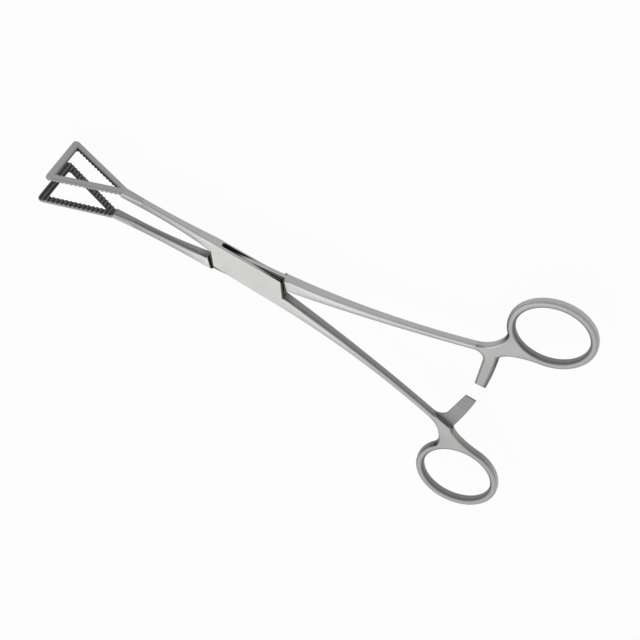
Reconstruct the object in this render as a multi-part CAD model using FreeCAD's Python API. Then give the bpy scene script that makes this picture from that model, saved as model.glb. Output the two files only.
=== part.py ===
import FreeCAD, Part
import math
import os

# Gallbladder forceps with a box lock, ring handles and triangular open jaws. Millimetres.
# Each half is drawn closed, with the jaw line along +X and the pivot's axis on Z, and is then
# turned about the pivot to the half-open pose. The box half's ring is on +Y and its jaw on -Y.
# The male half is the box half turned over about X, apart from the part inside the box.
# The frame's origin is where the pivot's axis meets the outer face of the lower cheek.

Vector = FreeCAD.Vector
UP = Vector(0, 0, 1)
PIVOT = Vector(0, 0, 0)

# Pose
REST_OPENING = 6.6          # degrees between the halves, counted from closed jaws

# Pivot and box lock
BOX_THICK = 4.6             # over both cheeks
CHEEK_THICK = 1.2
BOX_END = 16.1              # pivot to the ends of the box
CHEEK_SLANT = 3.6           # how far each cheek's slanted end leans back along the box
WALL_SLANT = 2.8            # the same for the end walls of the slot
BOX_ROUND = 0.6             # rounding of the box's long edges
SHOULDER_GAP = 0.12         # between the male half and the box at the closed pose
SLOT_CLEARANCE = 0.05       # above and below the tongue
PIN_RADIUS = 1.7
PIN_CLEARANCE = 0.05        # running fit of the tongue on the pin
PIN_FLARE = 0.35            # growth of the pin's radius where it is peened into each cheek
PIN_FLARE_DEPTH = 0.4

# Shanks, from the box to the jaws
SHANK_END = 46.0
SHANK_START_OFFSET = 2.75   # jaw line to the shank's centre at the box
SHANK_END_OFFSET = 2.4      # the same where the jaw's heel begins
SHANK_START_WIDTH = 4.1
SHANK_END_WIDTH = 2.9
SHANK_END_THICK = 3.0
SHANK_BOW = 0.17            # how far the shank's middle stands out from a straight line
SHANK_ROUND = 0.75

# Arms, from the box to the finger rings
ARM_START_OFFSET = 3.1      # jaw line to the arm's centre at the box
ARM_START_WIDTH = 4.6
ARM_END_WIDTH = 2.7
ARM_END_THICK = 3.6
ARM_LEAVE_SLOPE = 0.082     # the arm's slope away from the jaw line at the box
ARM_BEND_RADIUS = 436.0

# Finger rings
RING_X = 108.0              # pivot to the ring's centre, along the jaw line
RING_OUTSET = 19.5          # how much further out the ring's centre is than the arm's end
RING_LONG = 15.2            # half axes of the middle of the ring's wall
RING_SHORT = 12.75
RING_WALL = 3.0
RING_TILT = 3.2             # degrees that the ring's long axis turns out, away from the jaw line
ROOT_LENGTH = 22.0          # ring's centre back to the arm's end, along the jaw line
HANDLE_ROUND = 1.2          # edges of the ring, its root, the bars and the end of the arm
ROOT_OUTER_ANGLE = -27.0    # where the outer blend from the arm lands on the ring, degrees
ROOT_INNER_ANGLE = -92.0    # where the inner blend from the ratchet lands on the ring
ROOT_OUTER_FULLNESS = 0.45  # how far each blend is drawn into its corner, 0 to 1
ROOT_INNER_FULLNESS = 0.6

# Ratchet
RATCHET_SETBACK = 8.5       # arm's end to the middle of the bars at their tips
RATCHET_WIDTH = 4.5         # at the tips
RATCHET_FLARE = 0.9         # how much wider each bar is at its root, on the arm's side
RATCHET_REACH = 1.1         # how far each bar passes the jaw line when closed
RATCHET_ARM_BLEND = 2.8     # reach of the blend between the bar and the arm
RATCHET_RING_BLEND = 5.6    # reach of the blend between the bar and the ring
RATCHET_GAP = 0.1           # between the crests of the two bars
RATCHET_PITCH = 1.5
RATCHET_DEPTH = 0.5
RATCHET_TEETH = 4

# Jaws
JAW_TIP = 79.9              # pivot to the jaw's outer edge
JAW_WIDTH = 28.0            # across the tip, before its corners are rounded
JAW_LENGTH = 26.0           # tip to the end of the serrations
JAW_HEEL_WIDTH = 4.15       # across the frame where the serrations end
HEEL_STEP = 0.9             # height of the heel over the crests of the serrations
HEEL_INSET = 0.08           # how far the heel's end stands inside the frame's edges
JAW_BAR = 2.85
JAW_THICK = 1.4
JAW_TILT = 4.4              # degrees that the jaw face opens from the tip to the heel when closed
JAW_GAP = 0.06              # between the tips at the closed pose
JAW_CORNER = 1.5
WINDOW_CORNER = 0.6
JAW_ROUND = 0.45
TEETH_PITCH = 1.5
TEETH_DEPTH = 0.45
TEETH_CREST = 0.2           # flat left between two grooves

# Worked out from the sizes above
HALF_THICK = BOX_THICK / 2
SLOT_HALF = HALF_THICK - CHEEK_THICK
TONGUE_HALF = SLOT_HALF - SLOT_CLEARANCE
SHANK_INNER = SHANK_START_OFFSET - SHANK_START_WIDTH / 2
SHANK_OUTER = SHANK_START_OFFSET + SHANK_START_WIDTH / 2
ARM_INNER = ARM_START_OFFSET - ARM_START_WIDTH / 2
ARM_OUTER = ARM_START_OFFSET + ARM_START_WIDTH / 2
ARM_HALF_THICK = ARM_END_THICK / 2
ARM_END = RING_X - ROOT_LENGTH
ARM_RUN = ARM_END - BOX_END
ARM_END_OFFSET = ARM_START_OFFSET + ARM_LEAVE_SLOPE * ARM_RUN + ARM_RUN ** 2 / (2 * ARM_BEND_RADIUS)
RING_Y = ARM_END_OFFSET + RING_OUTSET
RATCHET_RADIUS = ARM_END + RATCHET_SETBACK
RATCHET_ROOT = ARM_END_OFFSET - ARM_END_WIDTH / 2 - RATCHET_ARM_BLEND
RATCHET_RING_ROOT = RING_Y - RING_SHORT - RING_WALL / 2 - RATCHET_RING_BLEND
MARGIN = 10.0               # how far a cutting tool runs past the stock
STATIONS = 7                # sections along a lofted shank or arm


def prism(points, z_low, z_high):
    """A straight prism over a closed outline of (x, y) corners."""
    corners = [Vector(x, y, z_low) for x, y in points]
    face = Part.Face(Part.makePolygon(corners + corners[:1]))
    return face.extrude(Vector(0, 0, z_high - z_low))


def pierced(outline, hole):
    """A flat face inside an outline with a hole through it."""
    return Part.Face(outline).cut(Part.Face(hole)).Faces[0]


def rounded_section(x, y_low, y_high, z_half, radius):
    """A rounded rectangle in the plane at x, as a closed wire that starts low on the -Z side."""
    corner_in = radius * (1 - math.sqrt(0.5))
    wire = []
    for y_side, z_side in ((1, -1), (1, 1), (-1, 1), (-1, -1)):
        y_edge = y_high if y_side > 0 else y_low
        z_edge = z_side * z_half
        along_z = Vector(x, y_edge, z_edge - z_side * radius)
        along_y = Vector(x, y_edge - y_side * radius, z_edge)
        middle = Vector(x, y_edge - y_side * corner_in, z_edge - z_side * corner_in)
        turns_to_z = y_side * z_side < 0
        first, last = (along_y, along_z) if turns_to_z else (along_z, along_y)
        if wire:
            wire.append(Part.LineSegment(previous, first))
        wire.append(Part.Arc(first, middle, last))
        start = first if len(wire) == 1 else start
        previous = last
    wire.append(Part.LineSegment(previous, start))
    return Part.Wire([piece.toShape() for piece in wire])


def taper(start, end, share):
    """A size that falls quickly from its start and levels out at its end."""
    return end + (start - end) * (1 - share) ** 2


def box_outline_at(x):
    """Half the box's width at x. It narrows evenly from the arms to the shanks."""
    share = (x + BOX_END) / (2 * BOX_END)
    return ARM_OUTER + (SHANK_OUTER - ARM_OUTER) * share


def box_block():
    """The whole box as one block, flush on every side as both halves are when closed."""
    half_at_arms = box_outline_at(-BOX_END)
    half_at_jaws = box_outline_at(BOX_END)
    corners = [(-BOX_END, -half_at_arms), (BOX_END, -half_at_jaws),
               (BOX_END, half_at_jaws), (-BOX_END, half_at_arms)]
    block = prism(corners, -HALF_THICK, HALF_THICK)
    long_edges = [edge for edge in block.Edges if edge.BoundBox.XLength > BOX_END]
    return block.makeFillet(BOX_ROUND, long_edges)


def slant_point(y, gap):
    """Where the cheek's slanted end, set off by a gap, passes the height y at the jaw end."""
    rise = box_outline_at(BOX_END - CHEEK_SLANT) + SHANK_INNER
    run_per_rise = CHEEK_SLANT / rise
    set_off = gap * math.hypot(1, run_per_rise)
    return (BOX_END + set_off - (y + SHANK_INNER) * run_per_rise, y)


def slant_point_at_arms(y, gap):
    """The same for the slanted end at the arms."""
    rise = box_outline_at(CHEEK_SLANT - BOX_END) + ARM_INNER
    run_per_rise = CHEEK_SLANT / rise
    set_off = gap * math.hypot(1, run_per_rise)
    return (-BOX_END - set_off + (ARM_INNER - y) * run_per_rise, y)


def wall_point(y, gap):
    """Where the slot's end wall, set off into the slot by a gap, passes y at the jaw end."""
    rise = box_outline_at(BOX_END - WALL_SLANT) - SHANK_INNER
    run_per_rise = WALL_SLANT / rise
    set_off = gap * math.hypot(1, run_per_rise)
    return (BOX_END - set_off + (y + SHANK_INNER) * run_per_rise, y)


def wall_point_at_arms(y, gap):
    """The same for the slot's end wall at the arms."""
    rise = box_outline_at(WALL_SLANT - BOX_END) - ARM_INNER
    run_per_rise = WALL_SLANT / rise
    set_off = gap * math.hypot(1, run_per_rise)
    return (-BOX_END + set_off + (y - ARM_INNER) * run_per_rise, y)


def pin_bore(clearance):
    """The hole for the pin, flared at both ends like the pin itself."""
    return peened_pin(PIN_RADIUS + clearance, HALF_THICK)


def peened_pin(radius, half_length):
    """A round pin whose two ends are spread into shallow cones."""
    shaft = Part.makeCylinder(radius, 2 * half_length, Vector(0, 0, -half_length))
    flared = radius + PIN_FLARE
    top = Part.makeCone(radius, flared, PIN_FLARE_DEPTH, Vector(0, 0, half_length - PIN_FLARE_DEPTH))
    bottom = Part.makeCone(flared, radius, PIN_FLARE_DEPTH, Vector(0, 0, -half_length))
    return shaft.fuse([top, bottom]).removeSplitter()


def box_half_box():
    """Two cheeks joined by the walls at the slot's ends, bored for the pin."""
    wide = ARM_OUTER + MARGIN
    far = BOX_END + MARGIN
    cheeks = prism([slant_point(wide, 0), (BOX_END, -SHANK_INNER), (BOX_END, -wide),
                    slant_point_at_arms(-wide, 0), (-BOX_END, ARM_INNER), (-BOX_END, wide)],
                   -HALF_THICK, HALF_THICK)
    slot = prism([wall_point(-wide, 0), (BOX_END, -SHANK_INNER), (far, -SHANK_INNER), (far, wide),
                  wall_point_at_arms(wide, 0), (-BOX_END, ARM_INNER), (-far, ARM_INNER),
                  (-far, -wide)], -SLOT_HALF, SLOT_HALF)
    return box_block().common(cheeks).cut(slot).cut(pin_bore(0))


def male_half_tongue():
    """The thin tongue that passes through the slot, and the two full shoulders outside it."""
    wide = ARM_OUTER + MARGIN
    far = BOX_END + MARGIN
    gap = SHOULDER_GAP
    tongue = prism([(BOX_END, wide), (BOX_END, SHANK_INNER), wall_point(SHANK_INNER, gap),
                    wall_point(-SHANK_INNER, gap), wall_point(-wide, gap), (-BOX_END, -wide),
                    (-BOX_END, -ARM_INNER), wall_point_at_arms(-ARM_INNER, gap),
                    wall_point_at_arms(ARM_INNER, gap), wall_point_at_arms(wide, gap)],
                   -TONGUE_HALF, TONGUE_HALF)
    jaw_shoulder = prism([slant_point(wide, gap), slant_point(SHANK_INNER, gap),
                          (far, SHANK_INNER), (far, wide)], -HALF_THICK, HALF_THICK)
    arm_shoulder = prism([slant_point_at_arms(-wide, gap), slant_point_at_arms(-ARM_INNER, gap),
                          (-far, -ARM_INNER), (-far, -wide)], -HALF_THICK, HALF_THICK)
    block = box_block()
    shoulders = [block.common(jaw_shoulder), block.common(arm_shoulder)]
    bore = Part.makeCylinder(PIN_RADIUS + PIN_CLEARANCE, BOX_THICK, Vector(0, 0, -HALF_THICK))
    return block.common(tongue).fuse(shoulders).removeSplitter().cut(bore)


def pivot_pin():
    """The pin that is peened into both cheeks and ground flush with them."""
    return peened_pin(PIN_RADIUS, HALF_THICK)


def shank_section(share):
    """The box half's shank, cut across at a share of its length."""
    x = BOX_END + (SHANK_END - BOX_END) * share
    middle = -SHANK_START_OFFSET * (1 - share) - SHANK_END_OFFSET * share
    middle -= 4 * SHANK_BOW * share * (1 - share)
    width = taper(SHANK_START_WIDTH, SHANK_END_WIDTH, share)
    thick = taper(BOX_THICK, SHANK_END_THICK, share)
    radius = BOX_ROUND + (SHANK_ROUND - BOX_ROUND) * share
    return rounded_section(x, middle - width / 2, middle + width / 2, thick / 2, radius)


def box_half_shank():
    """The slim bar from the box to the heel of the jaw."""
    sections = [shank_section(step / (STATIONS - 1)) for step in range(STATIONS)]
    return Part.makeLoft(sections, True)


def arm_middle(x):
    """The height of the arm's centre line, a parabola close to a large arc, at -x."""
    run = x - BOX_END
    return ARM_START_OFFSET + ARM_LEAVE_SLOPE * run + run ** 2 / (2 * ARM_BEND_RADIUS)


def arm_slope():
    """The arm's slope away from the jaw line where it ends."""
    return ARM_LEAVE_SLOPE + (ARM_END - BOX_END) / ARM_BEND_RADIUS


def arm_section(share):
    """The box half's arm, cut across at a share of its length."""
    x = BOX_END + (ARM_END - BOX_END) * share
    middle = arm_middle(x)
    width = taper(ARM_START_WIDTH, ARM_END_WIDTH, share)
    thick = taper(BOX_THICK, ARM_END_THICK, share)
    radius = BOX_ROUND + (HANDLE_ROUND - BOX_ROUND) * share
    return rounded_section(-x, middle - width / 2, middle + width / 2, thick / 2, radius)


def box_half_arm():
    """The bowed bar from the box to the root of the finger ring."""
    sections = [arm_section(step / (STATIONS - 1)) for step in range(STATIONS)]
    return Part.makeLoft(sections, True)


def jaw_to_half(shape):
    """Takes the jaw from its own plane, with its tip at the origin, to its place on the half."""
    shape.rotate(PIVOT, UP, JAW_TILT)
    shape.translate(Vector(JAW_TIP, -JAW_GAP / 2, 0))
    return shape


def corner_arc(before, corner, after, radius):
    """The arc that rounds the corner of two straight edges, as its start, middle and end."""
    back = (before - corner).normalize()
    ahead = (after - corner).normalize()
    half_angle = back.getAngle(ahead) / 2
    reach = radius / math.tan(half_angle)
    inwards = (back + ahead).normalize()
    centre = corner + inwards * (radius / math.sin(half_angle))
    return corner + back * reach, centre - inwards * radius, corner + ahead * reach


def rounded_outline(corners, radii):
    """A closed wire through straight edges whose corners are rounded, each with its own radius."""
    count = len(corners)
    arcs = []
    for index, corner in enumerate(corners):
        before = corners[index - 1]
        after = corners[(index + 1) % count]
        radius = radii[index]
        arcs.append(corner_arc(before, corner, after, radius) if radius else (corner, None, corner))
    edges = []
    for index, (start, middle, end) in enumerate(arcs):
        if middle is not None:
            edges.append(Part.Arc(start, middle, end).toShape())
        edges.append(Part.makeLine(end, arcs[(index + 1) % count][0]))
    return Part.Wire(edges)


def jaw_frame():
    """The flat triangular frame, its face at y = 0 and its tip at x = 0, with its window."""
    slope = (JAW_WIDTH - JAW_HEEL_WIDTH) / 2 / JAW_LENGTH
    half_angle = math.atan(slope)
    apex = -JAW_WIDTH / 2 / slope + JAW_BAR / math.sin(half_angle)
    window_half = (-JAW_BAR - apex) * slope
    outer = rounded_outline([Vector(-JAW_LENGTH, 0, -JAW_HEEL_WIDTH / 2), Vector(0, 0, -JAW_WIDTH / 2),
                             Vector(0, 0, JAW_WIDTH / 2), Vector(-JAW_LENGTH, 0, JAW_HEEL_WIDTH / 2)],
                            [0, JAW_CORNER, JAW_CORNER, 0])
    window = rounded_outline([Vector(apex, 0, 0), Vector(-JAW_BAR, 0, -window_half),
                              Vector(-JAW_BAR, 0, window_half)], [WINDOW_CORNER] * 3)
    plate = pierced(outer, window).extrude(Vector(0, -JAW_THICK, 0))
    outer_edges = [edge for edge in plate.Edges
                   if edge.BoundBox.YMax < -JAW_THICK / 2 and edge.BoundBox.XMax > apex - JAW_ROUND]
    return plate.makeFillet(JAW_ROUND, outer_edges)


def teeth_cutter():
    """V-grooves straight across the jaw's face, side by side from the tip to the heel."""
    grooves = []
    half_width = JAW_WIDTH / 2 + MARGIN
    opening = TEETH_PITCH - TEETH_CREST
    for tooth in range(int(JAW_LENGTH / TEETH_PITCH)):
        x = -TEETH_PITCH * tooth - TEETH_CREST
        grooves.append(prism([(x, 0), (x, MARGIN), (x - opening, MARGIN), (x - opening, 0),
                              (x - opening / 2, -TEETH_DEPTH)], -half_width, half_width))
    return grooves


def box_half_jaw():
    """The serrated frame and the heel that swells from the shank into it."""
    sections = [shank_section(1)]
    heel_end = rounded_section(-JAW_LENGTH, HEEL_INSET - JAW_THICK, HEEL_STEP,
                               JAW_HEEL_WIDTH / 2 - HEEL_INSET, JAW_ROUND)
    sections.append(jaw_to_half(heel_end))
    heel = Part.makeLoft(sections, True, True)
    frame = jaw_to_half(jaw_frame().cut(teeth_cutter()))
    return heel.fuse(frame).removeSplitter()


def blend(start, start_way, end, end_way, fullness):
    """A curve that leaves start along one way and reaches end along another, near their corner."""
    cross = start_way.x * end_way.y - start_way.y * end_way.x
    gap = end - start
    corner = start + start_way * ((gap.x * end_way.y - gap.y * end_way.x) / cross)
    curve = Part.BezierCurve()
    curve.setPoles([start, corner, end])
    curve.setWeight(2, fullness)
    return curve.toShape()


def ring_point(angle, long_axis, short_axis):
    """A point on an ellipse about the ring's centre, tilted with the ring."""
    turn = math.radians(-RING_TILT)
    along = long_axis * math.cos(angle)
    across = short_axis * math.sin(angle)
    return Vector(-RING_X + along * math.cos(turn) - across * math.sin(turn),
                  RING_Y + along * math.sin(turn) + across * math.cos(turn), 0)


def ring_way(angle, long_axis, short_axis):
    """The way along that ellipse, with the angle growing."""
    step = 1e-4
    return (ring_point(angle + step, long_axis, short_axis)
            - ring_point(angle - step, long_axis, short_axis)).normalize()


def ring_ellipse(long_axis, short_axis):
    """The same ellipse as a curve."""
    return Part.Ellipse(ring_point(0, long_axis, short_axis),
                        ring_point(math.pi / 2, long_axis, short_axis), Vector(-RING_X, RING_Y, 0))


def bar_point(radius, y):
    """A point on the ratchet's arc about the pivot, at the height y."""
    return Vector(-math.sqrt(radius ** 2 - y ** 2), y, 0)


def bar_arc(radius, y_start, y_end):
    """The ratchet bar's long side towards the ring."""
    middle = bar_point(radius, (y_start + y_end) / 2)
    return Part.Arc(bar_point(radius, y_start), middle, bar_point(radius, y_end)).toShape()


def handle_end():
    """The ring, the root and the ratchet's bar as one flat piece with rounded edges."""
    long_axis = RING_LONG + RING_WALL / 2
    short_axis = RING_SHORT + RING_WALL / 2
    outer_angle = math.radians(ROOT_OUTER_ANGLE)
    inner_angle = math.radians(ROOT_INNER_ANGLE)
    arm_way = Vector(-1, arm_slope(), 0).normalize()
    arm_out = Vector(-ARM_END, arm_middle(ARM_END) + ARM_END_WIDTH / 2, 0)
    arm_in = Vector(-ARM_END, arm_middle(ARM_END) - ARM_END_WIDTH / 2, 0)
    near = RATCHET_RADIUS - RATCHET_WIDTH / 2
    far = RATCHET_RADIUS + RATCHET_WIDTH / 2
    near_tip = bar_point(near, -RATCHET_REACH)
    near_root = bar_point(near - RATCHET_FLARE, RATCHET_ROOT)
    far_root = bar_point(far, RATCHET_RING_ROOT)
    near_way = (near_root - near_tip).normalize()
    far_way = Vector(far_root.y, -far_root.x, 0).normalize()
    ellipse = ring_ellipse(long_axis, short_axis)
    edges = [
        blend(arm_out, arm_way, ring_point(outer_angle, long_axis, short_axis),
              ring_way(outer_angle, long_axis, short_axis), ROOT_OUTER_FULLNESS),
        Part.ArcOfEllipse(ellipse, outer_angle, inner_angle + 2 * math.pi).toShape(),
        blend(ring_point(inner_angle, long_axis, short_axis),
              ring_way(inner_angle, long_axis, short_axis), far_root, far_way, ROOT_INNER_FULLNESS),
        bar_arc(far, RATCHET_RING_ROOT, -RATCHET_REACH),
        Part.makeLine(bar_point(far, -RATCHET_REACH), near_tip),
        Part.makeLine(near_tip, near_root),
        blend(near_root, near_way, arm_in, arm_way, ROOT_INNER_FULLNESS),
        Part.makeLine(arm_in, arm_out),
    ]
    outline = Part.Wire(Part.__sortEdges__(edges))
    hole = Part.Wire(ring_ellipse(RING_LONG - RING_WALL / 2, RING_SHORT - RING_WALL / 2).toShape())
    flat = pierced(outline, hole)
    flat.translate(Vector(0, 0, -ARM_HALF_THICK))
    piece = flat.extrude(Vector(0, 0, ARM_END_THICK))
    rims = [edge for edge in piece.Edges
            if edge.BoundBox.ZLength < HANDLE_ROUND and edge.BoundBox.XMin < -ARM_END - HANDLE_ROUND]
    return piece.makeFillet(HANDLE_ROUND, rims)


def ratchet_side():
    """The region on the ratchet's side of the arm's inner edge, drawn on past the arm's end."""
    slope = arm_slope()
    y_in = arm_middle(ARM_END) - ARM_END_WIDTH / 2
    run = RATCHET_RADIUS + RATCHET_WIDTH - ARM_END
    return prism([(-ARM_END + MARGIN, y_in - slope * MARGIN), (-ARM_END - run, y_in + slope * run),
                  (-ARM_END - run, -MARGIN), (-ARM_END + MARGIN, -MARGIN)], -MARGIN, MARGIN)


def box_half_ring():
    """The finger ring with the root that joins it to the arm."""
    return handle_end().cut(ratchet_side())


def ratchet_teeth():
    """Sawtooth cuts across the bar's face, steep on the side that holds the jaws shut."""
    top = -RATCHET_GAP / 2
    near = RATCHET_RADIUS - RATCHET_WIDTH / 2 - MARGIN
    cuts = []
    for tooth in range(RATCHET_TEETH):
        profile = [Vector(-near, 0, top), Vector(-near, 0, top - RATCHET_DEPTH),
                   Vector(-near, RATCHET_PITCH, top), Vector(-near, 0, top)]
        cut = Part.Face(Part.makePolygon(profile)).extrude(Vector(-RATCHET_WIDTH - 2 * MARGIN, 0, 0))
        along = -RATCHET_REACH + RATCHET_PITCH * (tooth + 0.5)
        cut.rotate(PIVOT, UP, -math.degrees(along / RATCHET_RADIUS))
        cuts.append(cut)
    return cuts


def box_half_ratchet():
    """The lower bar, half the arm's thickness, with its teeth facing up."""
    bar = handle_end().common(ratchet_side())
    far = RATCHET_RADIUS + RATCHET_WIDTH
    upper = prism([(-far, -MARGIN), (-ARM_END + MARGIN, -MARGIN), (-ARM_END + MARGIN, RING_Y),
                   (-far, RING_Y)], -RATCHET_GAP / 2, MARGIN)
    return bar.cut(upper).cut(ratchet_teeth())


def place(shape, male):
    """Takes a piece drawn in the closed pose to its half's place in the open pose."""
    shape.rotate(PIVOT, UP, REST_OPENING / 2 if male else -REST_OPENING / 2)
    shape.translate(Vector(0, 0, HALF_THICK))
    return shape


def turned_over(shape):
    """The male half's form of a piece that both halves have."""
    shape.rotate(PIVOT, Vector(1, 0, 0), 180)
    return shape


def pieces():
    """Every node's shape in its place."""
    shared = {"jaw": box_half_jaw, "shank": box_half_shank, "arm": box_half_arm,
              "ratchet": box_half_ratchet, "ring": box_half_ring}
    nodes = {"box_half_box": place(box_half_box(), False),
             "male_half_tongue": place(male_half_tongue(), True),
             "pivot_pin": place(pivot_pin(), False)}
    for name, make in shared.items():
        nodes["box_half_" + name] = place(make(), False)
        nodes["male_half_" + name] = place(turned_over(make()), True)
    return nodes


os.makedirs("parts", exist_ok=True)
for node, shape in pieces().items():
    shape.exportStep("parts/" + node + ".step")
    print(node, len(shape.Solids), "solid", shape.isValid(), round(shape.Volume, 2), "mm3")
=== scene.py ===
import math

import bmesh
import bpy
import numpy as np
from bpy.props import FloatProperty, FloatVectorProperty, PointerProperty
from mathutils import Matrix, Vector


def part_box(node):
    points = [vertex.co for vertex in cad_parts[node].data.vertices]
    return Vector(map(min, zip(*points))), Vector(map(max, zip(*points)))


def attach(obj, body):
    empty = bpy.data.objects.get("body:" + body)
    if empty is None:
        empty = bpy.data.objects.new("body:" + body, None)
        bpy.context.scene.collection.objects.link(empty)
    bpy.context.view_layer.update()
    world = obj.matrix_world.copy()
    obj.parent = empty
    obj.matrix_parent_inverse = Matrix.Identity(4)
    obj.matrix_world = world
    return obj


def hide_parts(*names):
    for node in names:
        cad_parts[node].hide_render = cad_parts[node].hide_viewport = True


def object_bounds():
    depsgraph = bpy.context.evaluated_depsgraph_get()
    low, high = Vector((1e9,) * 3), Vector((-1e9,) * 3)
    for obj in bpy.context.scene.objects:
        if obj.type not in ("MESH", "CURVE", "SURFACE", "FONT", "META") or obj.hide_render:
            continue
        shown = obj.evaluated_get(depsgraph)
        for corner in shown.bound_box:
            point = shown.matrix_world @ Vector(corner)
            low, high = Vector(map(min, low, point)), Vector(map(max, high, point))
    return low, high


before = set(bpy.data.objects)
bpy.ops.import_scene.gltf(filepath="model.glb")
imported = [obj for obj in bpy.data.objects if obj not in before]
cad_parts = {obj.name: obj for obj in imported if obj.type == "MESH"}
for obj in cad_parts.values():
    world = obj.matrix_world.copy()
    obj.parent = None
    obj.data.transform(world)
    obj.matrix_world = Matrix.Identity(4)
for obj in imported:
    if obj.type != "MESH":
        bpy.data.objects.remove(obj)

bl_info = {
    "name": "Gallbladder forceps",
    "version": (1, 0, 0),
    "blender": (4, 5, 0),
    "location": "3D View > Sidebar > Forceps",
    "description": "Dresses a pair of box-lock forceps in satin steel and sets its stage",
    "category": "Object",
}

MM = 0.001
CAD_LOW, CAD_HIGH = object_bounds()
BOX_LOW, BOX_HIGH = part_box("box_half_box")
PIVOT_Z = (BOX_LOW.z + BOX_HIGH.z) / 2
HALVES = (False, True)          # whether a half is the male one
SHARP_ANGLE = math.radians(38)

# Points along and across the surfaces
CORNER_STEPS = 8
FLAT_STEPS = 6
SHAFT_STATIONS = 72
RING_STATIONS = 190
BLEND_STATIONS = 241

# The root of a ring and its ratchet bar
ARM_LEAVE_SLOPE = 0.082         # the arm's slope away from the jaw line at the box
ROOT_OUTER_ANGLE = math.radians(-27)    # where each blend lands on the ring
ROOT_INNER_ANGLE = math.radians(-92)
ROOT_OUTER_FULLNESS = 0.45      # how far each blend is drawn into its corner, 0 to 1
ROOT_INNER_FULLNESS = 0.6
BAR_BLEND_FULLNESS = 0.6
RIM_CLEARANCE = 0.006 * MM      # keeps the rims inside the source's box
HOLE_ANGLES = 2 * math.pi + np.radians([-92, -72, -66, -62, -27])   # that face the root's corners
ROOT_PULLS = (0, 1, 1, 1, 0)    # how far the band there is drawn to the root's middle
BAR_TEETH = 4
BAR_BREAK = 0.15 * MM           # bevel along the toothed side
TOOTH_STEP = 0.03 * MM          # run of a tooth's steep side

# The copies of ground parts
WELD = 0.002 * MM               # points closer than this are one
FLAT_ANGLE = math.radians(0.5)  # faces that bend less than this are one
END_REACH = 0.02 * MM           # how near an end plane an edge has to lie to stay sharp

# Where the steel is dull or darkened by painted shade
LOCK_SHADE_REACH = 4 * MM           # from the box along a shaft
GENTLE_FILLET = 12.5 * MM       # radius from which a hollow outline begins to carry painted shade
TIGHT_FILLET = 5.2 * MM         # radius at which it is fully so
BAR_SHADE_REACH = 1.8 * MM            # from the rim on the ring's side of a ratchet bar
BAR_SHADE_FADE = 0.9 * MM
SLOT_DARK_END = 12.2 * MM       # from the pivot, where the slot's darkness begins to fade
SLOT_LIGHT_START = 13.0 * MM
FLOOR_WHITE = 0.95              # share of the floor's own shading that white takes up


def length(label, default, note):
    """A size in metres, given in millimetres."""
    return FloatProperty(name=label, description=note, default=default * MM, unit="LENGTH", precision=5)


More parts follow.
